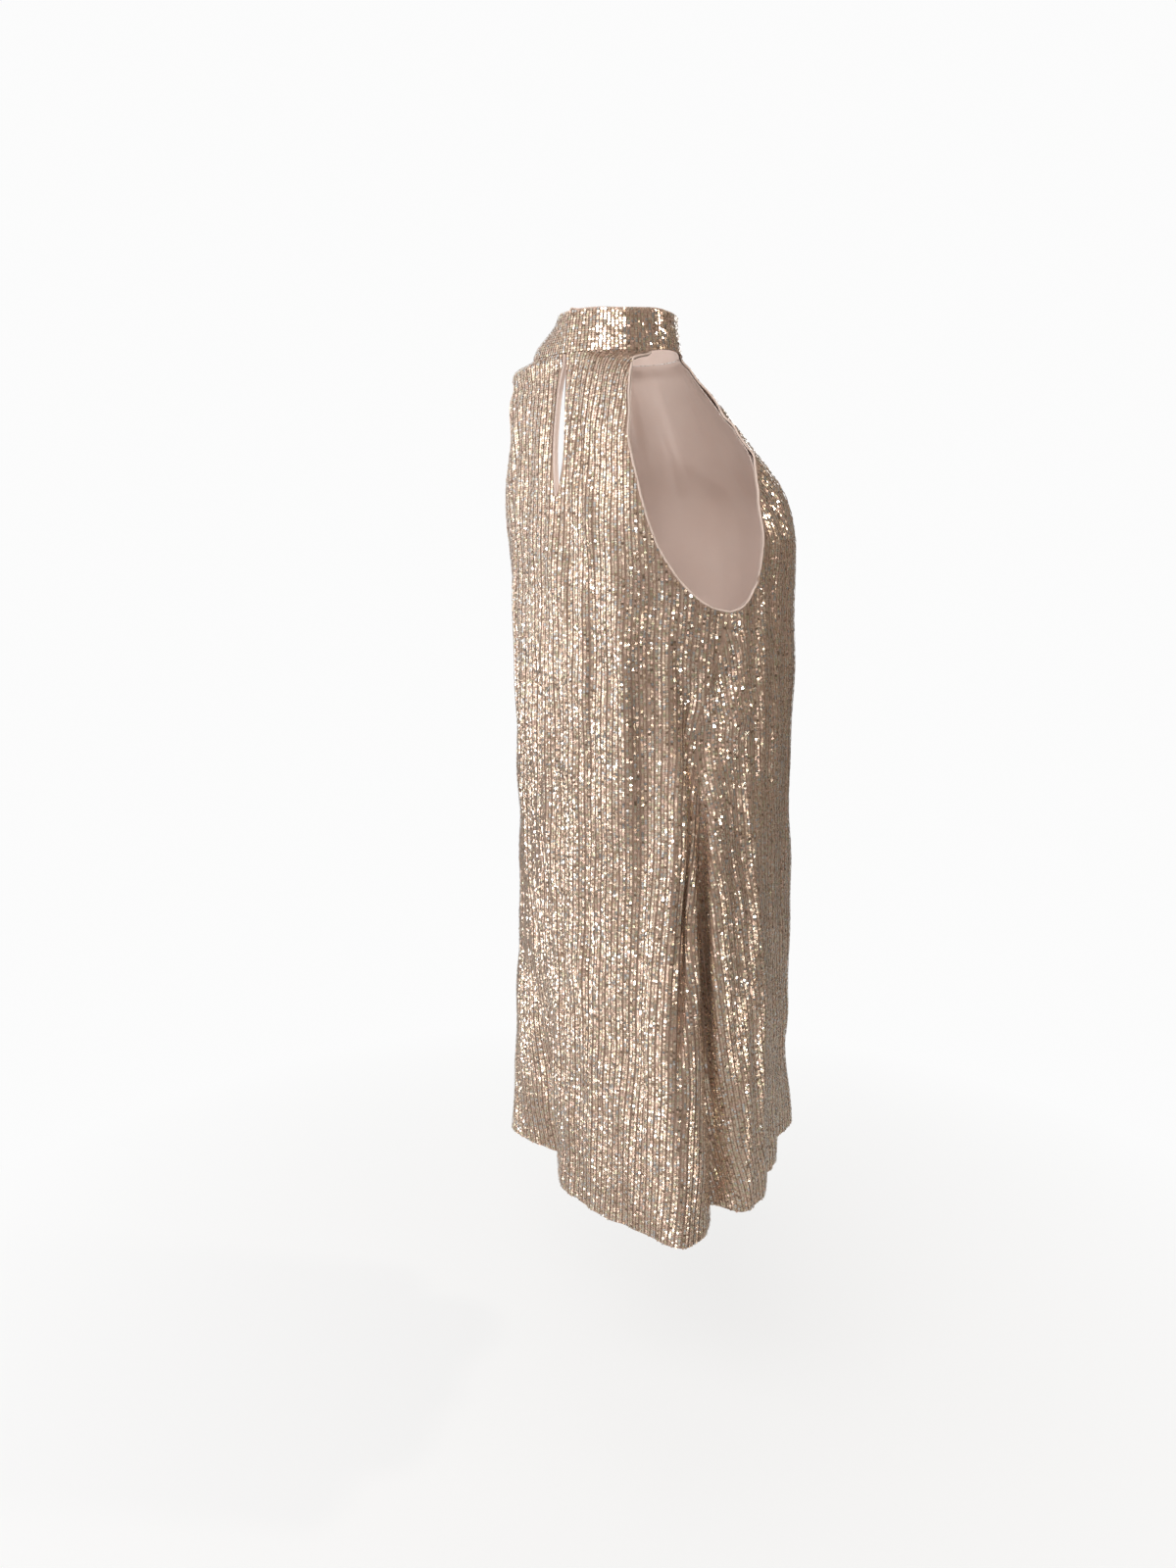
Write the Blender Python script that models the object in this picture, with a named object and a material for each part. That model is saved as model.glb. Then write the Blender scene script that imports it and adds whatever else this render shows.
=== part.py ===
"""A sleeveless swing dress of sequinned cloth, in the form it keeps when worn.

A stand collar closes at the centre back above a narrow keyhole slit.  The back and
front panels hang from it, leave deep halter armholes, join at the side seams and fall
in soft flutes to a level hem.  A satin lining hangs inside.

Metres.  +Z is up, the front faces -Y, the wearer's left is +X.  The origin is the
middle of the collar seam, where the neck holds the dress up.  Angles are in degrees,
measured about the vertical from the centre back (0) over the wearer's right side (90)
to the centre front (180); the wearer's left side is negative.
"""

import math

import bmesh
import bpy
import numpy as np

# Driving sizes
HEM = -1.025
UNDERARM = -0.280
COLLAR_HEIGHT = 0.045
FACING_RISE = 0.001
COLLAR_LIFT = 0.004
COLLAR_END_ANGLE = 0.45
CLOTH = 0.0020
SATIN = 0.0010
SEAM_GAP = 0.0005
LAYER_GAP = 0.0010
BINDING_RADIUS = 0.0013
LINING_SHORTER = 0.040
LINING_INSET_TOP = CLOTH + LAYER_GAP
LINING_INSET_HEM = 0.009
LINING_EDGE_BACK = 0.0030
LINING_SMOOTHNESS = 1.4
SLIT_BOTTOM = -0.155
SLIT_HALF_WIDTH = 0.0064
SLIT_END_HALF_WIDTH = 0.0014
FACING_DEPTH = 0.0060
FACING_THICKNESS = 0.0008
WIRE_RADIUS = 0.0004
HOOK_CLEARANCE = 0.0016
HOOK_HEIGHTS = (0.012, 0.033)

# Grid sizes
UPPER_ROWS = 10
LOWER_ROWS = 12
PANEL_COLUMNS = 12
COLLAR_COLUMNS = 40

# Heights of the grid rows close under the collar, where the cloth turns out
NECK_ROWS = (0.0, -0.003, -0.007, -0.012, -0.020, -0.034)

# Horizontal sections of the worn form, one row per height.  Each is an oval about a
# centre that moves back as the dress falls, with its own back and front half.
# height, centre y, back half width, back depth, front half width, front depth, squareness
SECTIONS = np.array([
    (COLLAR_HEIGHT + 2 * FACING_RISE, 0.000, 0.068, 0.068, 0.068, 0.068, 2.00),
    (0.000, 0.000, 0.075, 0.075, 0.075, 0.075, 2.00),
    (-0.012, -0.003, 0.135, 0.078, 0.081, 0.081, 2.25),
    (-0.024, -0.006, 0.185, 0.0835, 0.088, 0.0855, 2.28),
    (-0.050, -0.013, 0.255, 0.094, 0.105, 0.096, 2.35),
    (-0.100, -0.030, 0.225, 0.115, 0.140, 0.112, 2.50),
    (-0.165, -0.048, 0.205, 0.138, 0.172, 0.137, 2.45),
    (-0.210, -0.054, 0.190, 0.146, 0.182, 0.142, 2.35),
    (-0.280, -0.058, 0.182, 0.151, 0.182, 0.144, 2.25),
    (-0.430, -0.061, 0.182, 0.153, 0.182, 0.148, 2.20),
    (-0.600, -0.064, 0.184, 0.155, 0.184, 0.160, 2.15),
    (-0.800, -0.068, 0.188, 0.158, 0.188, 0.182, 2.15),
    (HEM, -0.072, 0.192, 0.163, 0.192, 0.207, 2.15)])

# Flutes that start at one height and deepen down to the hem.  Ridges stand out, and
# valleys, with a negative depth, fall in.
# angle at start, angle at hem, start height, depth at hem, width, growth
FLUTES = (
    (40, 35, -0.55, 0.016, 15.0, 1.3),
    (55, 58, -0.36, 0.046, 12.5, 1.0),
    (65, 75.5, -0.38, -0.040, 5.5, 0.8),
    (112, 116, -0.42, -0.032, 15.0, 1.2),
    (140, 141, -0.60, -0.044, 14.0, 1.4),
    (172, 170, -0.50, 0.018, 14.0, 1.4),
    (-25, -24, -0.50, -0.050, 15.0, 1.6),
    (-54, -53, -0.45, 0.022, 9.0, 1.4),
    (-76, -79, -0.52, -0.034, 8.0, 1.2),
    (-96, -99, -0.45, 0.018, 11.0, 1.3),
    (-118, -121, -0.55, -0.030, 12.0, 1.2),
    (-141, -143, -0.50, 0.016, 12.0, 1.5),
    (-161, -162, -0.62, -0.028, 10.0, 1.3))

# Folds and hollows that die out at both ends.
# angle at top, angle at bottom, top height, bottom height, depth, width
FOLDS = (
    (66, 66, -0.30, -0.52, -0.014, 11.0),
    (64, 56, -0.42, -0.82, -0.012, 2.8),
    (40, 39, -0.12, -0.62, 0.005, 5.0),
    (49, 47, -0.16, -0.70, -0.008, 5.0),
    (-38, -41, -0.15, -0.66, 0.005, 6.0),
    (-57, -55, -0.27, -0.74, -0.007, 6.0),
    (-106, -110, -0.30, -0.72, -0.006, 8.0))

# On the wearer's left the cloth slopes straight from the collar's top to the shoulder.
SHOULDER_FLARE = {"angle": -60, "width": 30.0, "depth": 0.027, "down_to": -0.034, "lean": 0.91}

# Half angle of the back panel at its armhole edge, from the centre back.
# height, half angle
BACK_EDGE = np.array([
    (0.000, 82.0), (-0.012, 58.0), (-0.050, 51.5), (-0.100, 46.5), (-0.150, 47.0),
    (-0.200, 50.5), (-0.240, 57.5), (-0.262, 64.0), (-0.275, 70.5), (UNDERARM, 77.0)])

# Half angle of the front panel at its armhole edge, from the centre front.
# height, half angle
FRONT_EDGE = np.array([
    (0.000, 38.0), (-0.020, 41.0), (-0.050, 48.0), (-0.075, 56.0), (-0.100, 66.0), (-0.130, 76.0),
    (-0.165, 84.5), (-0.210, 87.5), (-0.240, 89.5), (-0.262, 93.5), (-0.275, 98.5), (UNDERARM, 103.0)])

# Angle of the side seams from the centre back.
# height, right seam, left seam
SIDE_SEAMS = np.array([
    (UNDERARM, 77.0, 77.0), (-0.430, 66.5, 78.0), (-0.630, 67.5, 79.0), (HEM, 75.5, 80.0)])

COLOURS = {
    "sequin_cloth": ((0.62, 0.46, 0.34), 0.35, 0.6),
    "satin": ((0.83, 0.66, 0.60), 0.40, 0.0),
    "binding": ((0.86, 0.70, 0.63), 0.50, 0.0),
    "hook_metal": ((0.55, 0.55, 0.57), 0.30, 1.0)}


def smooth_table(height, table):
    """Read a table's columns at any height, smoothly and with no overshoot."""
    down = -table[:, 0]
    values = table[:, 1:]
    step = np.diff(down)
    slope = np.diff(values, axis=0) / step[:, None]
    tangent = np.zeros_like(values)
    both = slope[:-1] + slope[1:]
    same_way = slope[:-1] * slope[1:] > 0
    tangent[1:-1] = np.where(same_way, 2 * slope[:-1] * slope[1:] / np.where(same_way, both, 1), 0)
    tangent[0] = slope[0]
    tangent[-1] = slope[-1]
    at = np.clip(-np.asarray(height, float), down[0], down[-1])
    row = np.clip(np.searchsorted(down, at, side="right") - 1, 0, len(step) - 1)
    t = ((at - down[row]) / step[row])[..., None]
    run = step[row][..., None]
    return ((2 * t**3 - 3 * t**2 + 1) * values[row] + (t**3 - 2 * t**2 + t) * run * tangent[row]
            + (3 * t**2 - 2 * t**3) * values[row + 1] + (t**3 - t**2) * run * tangent[row + 1])


def turn(angle, centre):
    """The signed angle from a centre, within half a turn."""
    return (angle - centre + 180) % 360 - 180


def shoulder_flare(angle, height):
    """How far the left shoulder stands out, on the collar and on the panel below it."""
    side = np.exp(-(turn(angle, SHOULDER_FLARE["angle"]) / SHOULDER_FLARE["width"])**2)
    low = SHOULDER_FLARE["down_to"]
    t = np.clip((height - low) / (COLLAR_HEIGHT - low), 0, 1)
    return SHOULDER_FLARE["depth"] * side * np.sin(math.pi * t**SHOULDER_FLARE["lean"])**2


def swell(angle, middle, width, depth, hollows_only):
    """One ridge or valley around the dress.  Alone, a hollow is softer and wider."""
    if hollows_only and depth > 0:
        return 0.0
    spread = width * (LINING_SMOOTHNESS if hollows_only else 1.0)
    return depth * np.exp(-(turn(angle, middle) / spread)**2)


def form(angle, height, hollows_only=False):
    """Points of the dress's outer surface, or of the same form with only its hollows."""
    angle, height = np.broadcast_arrays(np.asarray(angle, float), np.asarray(height, float))
    centre_y, back_wide, back_deep, front_wide, front_deep, power = np.moveaxis(
        smooth_table(height, SECTIONS), -1, 0)
    sine = np.sin(np.radians(angle))
    cosine = np.cos(np.radians(angle))
    wide = np.where(cosine > 0, back_wide, front_wide)
    deep = np.where(cosine > 0, back_deep, front_deep)
    radius = ((np.abs(sine) / wide)**power + (np.abs(cosine) / deep)**power)**(-1 / power)
    for start_angle, hem_angle, start, depth, width, growth in FLUTES:
        t = np.clip((start - height) / (start - HEM), 0, 1)
        middle = start_angle + (hem_angle - start_angle) * t
        radius = radius + t**growth * swell(angle, middle, width, depth, hollows_only)
    for top_angle, low_angle, top, low, depth, width in FOLDS:
        t = np.clip((top - height) / (top - low), 0, 1)
        middle = top_angle + (low_angle - top_angle) * t
        radius = radius + np.sin(math.pi * t)**2 * swell(angle, middle, width, depth, hollows_only)
    radius = radius + shoulder_flare(angle, height)
    return np.stack([-radius * sine, centre_y + radius * cosine, height], axis=-1)


def outward(angle, height, hollows_only=False):
    """Unit normals of the same surface, the same on both sides of the collar seam."""
    step_angle = 0.05
    step_height = 0.0005
    height = np.where(np.abs(height) < 1.1 * SEAM_GAP, 0.0, height)
    around = form(angle + step_angle, height, hollows_only) - form(angle - step_angle, height, hollows_only)
    down = form(angle, height - step_height, hollows_only) - form(angle, height + step_height, hollows_only)
    normal = np.cross(down, around)
    return normal / np.linalg.norm(normal, axis=-1, keepdims=True)


def sunk(angle, height, depth, hollows_only=False):
    """Points moved in from the surface, square to it."""
    return form(angle, height, hollows_only) - depth * outward(angle, height, hollows_only)


def collar_height(angle, share, rise):
    """Heights on the collar: share 0 is its lower edge, a little higher over the shoulders."""
    over_right = 1 - np.clip(np.abs(turn(angle, 110)) / 32, 0, 1)**2
    over_left = 1 - np.clip(np.abs(turn(angle, -110)) / 32, 0, 1)**2
    low = SEAM_GAP + COLLAR_LIFT * (over_right + over_left)
    return low + (COLLAR_HEIGHT + rise - low) * share


def material(slot):
    """The Principled material of one slot, made once."""
    found = bpy.data.materials.get(slot)
    if found:
        return found
    colour, roughness, metallic = COLOURS[slot]
    made = bpy.data.materials.new(slot)
    made.use_nodes = True
    shader = made.node_tree.nodes["Principled BSDF"]
    shader.inputs["Base Color"].default_value = (*colour, 1.0)
    shader.inputs["Roughness"].default_value = roughness
    shader.inputs["Metallic"].default_value = metallic
    return made


def add_object(name, data, slot):
    data.materials.append(material(slot))
    made = bpy.data.objects.new(name, data)
    bpy.context.scene.collection.objects.link(made)
    return made


def cloth_wall(name, outer, inner, slot, slit=None):
    """Close the wall between two matching grids of points.

    A slit is the column at its left edge and the row where it ends: the next column is
    its right edge, and below that row the two are one.
    """
    rows, columns = outer.shape[:2]
    count = rows * columns
    number = np.arange(count).reshape(rows, columns)
    if slit:
        number[slit[1]:, slit[0] + 1] = number[slit[1]:, slit[0]]
    points = outer.reshape(-1, 3)
    cells = []
    for r, c in np.ndindex(rows - 1, columns - 1):
        if slit and c == slit[0]:
            continue
        a, b, d, e = number[r, c], number[r, c + 1], number[r + 1, c + 1], number[r + 1, c]
        if np.linalg.norm(points[a] - points[d]) < np.linalg.norm(points[b] - points[e]):
            cells += [(a, b, d), (a, d, e)]
        else:
            cells += [(a, b, e), (b, d, e)]
    edges = {(cell[k], cell[(k + 1) % 3]) for cell in cells for k in range(3)}
    rim = [(b, a, a + count, b + count) for a, b in sorted(edges) if (b, a) not in edges]
    lining_side = [tuple(n + count for n in reversed(cell)) for cell in cells]
    faces = [tuple(int(n) for n in face) for face in cells + lining_side + rim]
    mesh = bpy.data.meshes.new(name)
    mesh.from_pydata(np.concatenate([points, inner.reshape(-1, 3)]).tolist(), [], faces)
    shape = bmesh.new()
    shape.from_mesh(mesh)
    bmesh.ops.delete(shape, geom=[v for v in shape.verts if not v.link_faces], context="VERTS")
    bmesh.ops.recalc_face_normals(shape, faces=shape.faces)
    shape.to_mesh(mesh)
    shape.free()
    mesh.shade_smooth()
    mesh.set_sharp_from_angle(angle=math.radians(50))
    return add_object(name, mesh, slot)


def tube(name, path, radius, slot, sides=1):
    """A round cord along a path, with filled ends."""
    curve = bpy.data.curves.new(name, "CURVE")
    curve.dimensions = "3D"
    spline = curve.splines.new("POLY")
    spline.points.add(len(path) - 1)
    for point, place in zip(spline.points, path):
        point.co = (*place, 1.0)
    curve.bevel_depth = radius
    curve.bevel_resolution = sides
    curve.use_fill_caps = True
    return add_object(name, curve, slot)


def row_heights(upper, lower, bottom):
    """Heights from the collar seam to the underarm, closer towards it, then to the hem."""
    t = np.linspace(0, 1, upper + 1)[1:]
    above = NECK_ROWS[-1] + (UNDERARM - NECK_ROWS[-1]) * (1 - (1 - t)**1.4)
    above[np.argmin(np.abs(above - SLIT_BOTTOM))] = SLIT_BOTTOM
    below = np.linspace(UNDERARM, bottom, lower + 1)[1:]
    return np.concatenate([NECK_ROWS, above, below])


def shares(count):
    """Shares of a half panel from its middle to its edge, closer towards the edge."""
    return 1 - (1 - np.linspace(0, 1, count + 1))**1.25


def slit_half_width(height):
    """Half the width of the keyhole slit, a narrow lens below the collar."""
    t = np.clip(height / SLIT_BOTTOM, 0, 1)
    return SLIT_END_HALF_WIDTH + (SLIT_HALF_WIDTH - SLIT_END_HALF_WIDTH) * np.sin(math.pi * t**0.85)


def degrees_across(length, angle, height):
    """The angle that a short length of cloth covers on the surface."""
    step = 0.5
    chord = np.linalg.norm(form(angle + step, height) - form(angle - step, height), axis=-1)
    return length / chord * 2 * step


def half_angles(heights, side, back, margin):
    """A panel's half angle on one side at each height, clear of its seam or binding."""
    seam = smooth_table(heights, SIDE_SEAMS)[..., 0 if side > 0 else 1]
    edge = smooth_table(heights, BACK_EDGE if back else FRONT_EDGE)[..., 0]
    half = np.where(heights > UNDERARM, edge, seam if back else 180 - seam)
    at = side * half if back else 180 - side * half
    clear = np.where(heights > UNDERARM, margin, SEAM_GAP / 2)
    return (half - degrees_across(clear, at, heights))[:, None]


def panel_angles(heights, back, count, margin=0.0, slit_margin=0.0):
    """The grid of angles of a back or front panel, one row per height."""
    right = half_angles(heights, 1, back, margin)
    left = half_angles(heights, -1, back, margin)
    spread = shares(count)
    if not back:
        return np.concatenate([180 - right * spread[:0:-1], 180 + left * spread], axis=1)
    half_slit = (slit_half_width(heights) + slit_margin)[:, None]
    start = np.degrees(half_slit / form(0.0, heights)[:, 1:2])
    start = np.where(heights[:, None] > SLIT_BOTTOM, start, 0.0)
    right_side = start + (right - start) * spread
    left_side = -start - (left - start) * spread[::-1]
    return np.concatenate([left_side, right_side], axis=1)


def slit_cut(heights, count):
    """Where the slit lies in a back panel's grid: its left column and its last row."""
    return count, int(np.argmax(heights <= SLIT_BOTTOM))


def build_panels():
    """The back and front panels of sequinned cloth."""
    heights = row_heights(UPPER_ROWS, LOWER_ROWS, HEM)
    for name, back in (("back_panel", True), ("front_panel", False)):
        angles = panel_angles(heights, back, PANEL_COLUMNS)
        level = np.broadcast_to(heights[:, None], angles.shape)
        slit = slit_cut(heights, PANEL_COLUMNS) if back else None
        cloth_wall(name, form(angles, level), sunk(angles, level, CLOTH), "sequin_cloth", slit)


def build_lining():
    """The satin lining, which follows the cloth's hollows and hangs straight past its ridges."""
    heights = row_heights(UPPER_ROWS // 2, LOWER_ROWS // 2 + 1, HEM + LINING_SHORTER)
    columns = PANEL_COLUMNS // 2
    down = np.clip((heights - UNDERARM) / (HEM - UNDERARM), 0, 1)
    inset = LINING_INSET_TOP + (LINING_INSET_HEM - LINING_INSET_TOP) * down**0.35
    inset = inset[:, None, None]
    for name, back in (("lining_back", True), ("lining_front", False)):
        angles = panel_angles(heights, back, columns, LINING_EDGE_BACK, SEAM_GAP)
        level = np.broadcast_to(heights[:, None], angles.shape)
        slit = slit_cut(heights, columns) if back else None
        outer = sunk(angles, level, inset, hollows_only=True)
        inner = sunk(angles, level, inset + SATIN, hollows_only=True)
        cloth_wall(name, outer, inner, "satin", slit)


def build_collar():
    """The stand collar and the satin facing inside it, open at the centre back."""
    angles = np.linspace(COLLAR_END_ANGLE, 360 - COLLAR_END_ANGLE, COLLAR_COLUMNS + 1)
    share = np.linspace(0, 1, 3)[::-1, None]
    layers = (("collar_band", 0.0, CLOTH, 0.0, "sequin_cloth"),
              ("collar_facing", CLOTH + LAYER_GAP, SATIN, FACING_RISE, "satin"))
    for name, inset, thickness, rise, slot in layers:
        level = collar_height(angles, share, rise)
        across = np.broadcast_to(angles, level.shape)
        cloth_wall(name, sunk(across, level, inset), sunk(across, level, inset + thickness), slot)


def armhole_path(side):
    """The line along one armhole edge, from the collar down, under the arm and up."""
    heights = row_heights(UPPER_ROWS, LOWER_ROWS, HEM)
    heights = heights[(heights >= UNDERARM) & (heights < 0)]
    back = side * smooth_table(heights, BACK_EDGE)[:, 0]
    front = side * (180 - smooth_table(heights, FRONT_EDGE)[:, 0])
    angles = np.concatenate([back, front[-2::-1]])
    level = np.concatenate([heights, heights[-2::-1]])
    edge = form(angles, level)
    away = np.cross(np.gradient(edge, axis=0), outward(angles, level)) * -side
    away /= np.linalg.norm(away, axis=1, keepdims=True)
    return sunk(angles, level, CLOTH / 2) + (BINDING_RADIUS + SEAM_GAP) * away


def build_bindings():
    """The rolled satin edges of the armholes."""
    for name, side in (("armhole_binding_right", 1), ("armhole_binding_left", -1)):
        tube(name, armhole_path(side), BINDING_RADIUS, "binding")


def build_keyhole_facing():
    """The satin strip turned in along both edges of the slit and across its lower end."""
    heights = row_heights(UPPER_ROWS, LOWER_ROWS, HEM)
    heights = heights[(heights > SLIT_BOTTOM) & (heights < 0)]
    half = slit_half_width(heights) - SEAM_GAP
    level = np.concatenate([heights, heights[::-1]])[:, None]
    across = np.concatenate([-half, half[::-1]])[:, None]
    deep = form(0.0, level)[..., 1] - CLOTH / 4 - np.array([0.0, FACING_DEPTH])
    turned_up = np.zeros_like(level)
    turned_up[len(heights) - 1:len(heights) + 1] = FACING_THICKNESS
    grids = []
    for thickness in (0.0, FACING_THICKNESS):
        x = np.sign(across) * (np.abs(across) - thickness)
        z = level + (turned_up if thickness else 0.0)
        grids.append(np.stack(np.broadcast_arrays(x, deep, z), axis=-1))
    cloth_wall("keyhole_facing", grids[0], grids[1], "satin")


def build_hooks():
    """Two wire hooks and eyes inside the collar's ends, done up."""
    bend = 3 * WIRE_RADIUS
    reach = 0.0022
    for number, height in enumerate(HOOK_HEIGHTS, start=1):
        wall = sunk(0.0, height, CLOTH + LAYER_GAP + SATIN)[1]
        outer_leg = wall - HOOK_CLEARANCE
        bar = outer_leg - bend
        inner_leg = bar - bend
        hook = [(-0.0070, outer_leg, height), (0.0010, outer_leg, height),
                (0.0018, outer_leg - bend / 2, height), (0.0020, bar, height),
                (0.0018, inner_leg + bend / 2, height), (0.0010, inner_leg, height),
                (-0.0025, inner_leg, height)]
        upper = [(0.0075, outer_leg, height + reach), (0.0035, outer_leg, height + reach),
                 (0.0008, bar, height + reach), (0.0000, bar, height + reach - 0.0008)]
        lower = [(x, y, 2 * height - z) for x, y, z in reversed(upper)]
        tube(f"collar_hook_{number}", hook, WIRE_RADIUS, "hook_metal")
        tube(f"collar_eye_{number}", upper + lower, WIRE_RADIUS, "hook_metal")


def main():
    for old in list(bpy.data.objects):
        bpy.data.objects.remove(old, do_unlink=True)
    build_panels()
    build_lining()
    build_collar()
    build_bindings()
    build_keyhole_facing()
    build_hooks()


main()
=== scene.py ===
"""Looks of a sleeveless swing dress in champagne sequinned cloth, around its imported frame.

Metres, +Z up, the front faces -Y, the wearer's left is +X, and the origin is the middle
of the collar seam.  Angles are in degrees about the vertical, from the centre back (0)
over the wearer's right side (90) to the centre front (180).  Every sheet of cloth is a
grid over angle and height on one form, which repeats the frame's, with finer creases.
"""

import math

import bpy
import numpy as np
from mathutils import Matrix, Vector

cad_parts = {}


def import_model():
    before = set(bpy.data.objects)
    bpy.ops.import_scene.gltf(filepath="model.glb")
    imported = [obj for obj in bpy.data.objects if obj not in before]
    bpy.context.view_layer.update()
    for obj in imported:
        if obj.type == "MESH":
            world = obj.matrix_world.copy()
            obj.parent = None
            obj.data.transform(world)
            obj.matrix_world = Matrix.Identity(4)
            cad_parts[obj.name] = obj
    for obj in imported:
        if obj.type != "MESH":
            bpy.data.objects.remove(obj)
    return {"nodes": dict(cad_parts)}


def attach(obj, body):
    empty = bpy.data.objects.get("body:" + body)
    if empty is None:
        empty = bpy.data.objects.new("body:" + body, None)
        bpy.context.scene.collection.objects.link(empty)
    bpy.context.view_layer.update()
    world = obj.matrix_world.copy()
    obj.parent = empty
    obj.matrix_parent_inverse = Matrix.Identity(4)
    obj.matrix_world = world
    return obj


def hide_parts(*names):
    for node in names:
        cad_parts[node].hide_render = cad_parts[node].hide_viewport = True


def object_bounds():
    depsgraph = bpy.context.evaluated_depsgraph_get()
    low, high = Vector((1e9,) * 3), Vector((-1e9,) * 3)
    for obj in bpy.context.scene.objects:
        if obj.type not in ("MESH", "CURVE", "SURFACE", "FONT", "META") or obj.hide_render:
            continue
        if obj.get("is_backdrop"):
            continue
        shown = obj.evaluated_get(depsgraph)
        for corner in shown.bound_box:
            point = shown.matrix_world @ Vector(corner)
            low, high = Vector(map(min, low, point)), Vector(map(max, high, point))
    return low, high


# Driving sizes of the form, as in the frame
HEM = -1.025
UNDERARM = -0.280
COLLAR_HEIGHT = 0.045
COLLAR_LIFT = 0.004
COLLAR_END_ANGLE = 0.40
SEAM_GAP = 0.0005
SLIT_BOTTOM = -0.155
SLIT_HALF_WIDTH = 0.0064
SLIT_END_HALF_WIDTH = 0.0014
LINING_HEM = -0.985
LINING_SMOOTHNESS = 1.4

# The keyhole's left flap stands out and its right flap lies in, within some degrees of it
SLIT_FLAP_OUT = 0.0030
SLIT_FLAP_IN = 0.0008
SLIT_FLAP_SPREAD = 9.0

# Thicknesses and places of the cloth's layers, in from the frame's outer surface
MESH_DEPTH = 0.0010
MESH_THICKNESS = 0.0009
FACING_DEPTH = 0.0030
FACING_RISE = 0.0012
SATIN_THICKNESS = 0.0005
LINING_INSET_TOP = 0.0032
LINING_INSET_HEM = 0.0095
EDGE_RADIUS = 0.0012
EDGE_DEPTH = 0.0013
KEYHOLE_EDGE_DEPTH = 0.0007
KEYHOLE_EDGE_WIDTH = 0.0064

# The grids: columns from the middle of a panel to its edge, closer together towards the
# edge, and rows above and below the underarm
PANEL_COLUMNS = 104
EDGE_CROWDING = 1.55
PANEL_ROWS = (40, 70)
LINING_COLUMNS = 34
LINING_ROWS = (36, 44)
SEQUIN_LINE_ROWS = (90, 190)
SEQUIN_LINE_SAMPLES = 260
COLLAR_COLUMNS = 181
COLLAR_ROWS = 15
EDGE_SIDES = 10

# Sequins: the rows run down the cloth in pairs, and on the front they lean forward
# towards the hem.  Each sequin hangs out at its lower edge and tilts its own way.
ROW_PITCH = 0.0043
ROW_LEAN = 0.085
ROW_LEAN_TOP = -0.30
ROW_LEAN_REACH = 0.36
SEQUIN_PITCH = 0.0027
SEQUIN_RADIUS = 0.00156
PAIR_SHIFT = 0.00042
SEQUIN_SIDES = 7
SEQUIN_HEIGHT = 0.0002
SEQUIN_HANG = 6.0
SEQUIN_TILT = 4.8
SEQUIN_LIFT = 0.0003
DOWN_JITTER = 0.00016
SIDE_JITTER = 0.00018
SEED = 7

# height, centre y, back half width, back depth, front half width, front depth, squareness
SECTIONS = np.array([
    (COLLAR_HEIGHT + 0.002, 0.000, 0.068, 0.068, 0.068, 0.068, 2.00),
    (0.000, 0.000, 0.075, 0.075, 0.075, 0.075, 2.00),
    (-0.012, -0.003, 0.135, 0.078, 0.081, 0.081, 2.25),
    (-0.024, -0.006, 0.185, 0.0835, 0.088, 0.0855, 2.28),
    (-0.050, -0.013, 0.255, 0.094, 0.105, 0.096, 2.35),
    (-0.100, -0.030, 0.225, 0.115, 0.140, 0.112, 2.50),
    (-0.165, -0.048, 0.205, 0.138, 0.172, 0.137, 2.45),
    (-0.210, -0.054, 0.190, 0.146, 0.182, 0.142, 2.35),
    (-0.280, -0.058, 0.182, 0.151, 0.182, 0.144, 2.25),
    (-0.430, -0.061, 0.182, 0.153, 0.182, 0.148, 2.20),
    (-0.600, -0.064, 0.184, 0.155, 0.184, 0.160, 2.15),
    (-0.800, -0.068, 0.188, 0.158, 0.188, 0.182, 2.15),
    (HEM, -0.072, 0.192, 0.163, 0.192, 0.207, 2.15)])

# angle at start, angle at hem, start height, depth at hem, width, growth
FLUTES = (
    (40, 35, -0.55, 0.016, 15.0, 1.3),
    (55, 58, -0.36, 0.046, 12.5, 1.0),
    (65, 75.5, -0.38, -0.040, 5.5, 0.8),
    (112, 116, -0.42, -0.032, 15.0, 1.2),
    (140, 141, -0.60, -0.044, 14.0, 1.4),
    (172, 170, -0.50, 0.018, 14.0, 1.4),
    (-25, -24, -0.50, -0.050, 15.0, 1.6),
    (-54, -53, -0.45, 0.022, 9.0, 1.4),
    (-76, -79, -0.52, -0.034, 8.0, 1.2),
    (-96, -99, -0.45, 0.018, 11.0, 1.3),
    (-118, -121, -0.55, -0.030, 12.0, 1.2),
    (-141, -143, -0.50, 0.016, 12.0, 1.5),
    (-161, -162, -0.62, -0.028, 10.0, 1.3))

# angle at top, angle at bottom, top height, bottom height, depth, width
FOLDS = (
    (66, 66, -0.30, -0.52, -0.014, 11.0),
    (64, 56, -0.42, -0.82, -0.012, 2.8),
    (40, 39, -0.12, -0.62, 0.005, 5.0),
    (49, 47, -0.16, -0.70, -0.008, 5.0),
    (-38, -41, -0.15, -0.66, 0.005, 6.0),
    (-57, -55, -0.27, -0.74, -0.007, 6.0),
    (-106, -110, -0.30, -0.72, -0.006, 8.0))

# The cloth stands away from the left shoulder, under the collar
SHOULDER_FLARE = {"angle": -60, "width": 30.0, "depth": 0.027, "down_to": -0.034, "lean": 0.91}

# height, half angle of the back panel's armhole edge from the centre back
BACK_EDGE = np.array([
    (0.000, 82.0), (-0.012, 58.0), (-0.050, 51.5), (-0.100, 46.5), (-0.150, 47.0),
    (-0.200, 50.5), (-0.240, 57.5), (-0.262, 64.0), (-0.275, 70.5), (UNDERARM, 77.0)])

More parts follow.
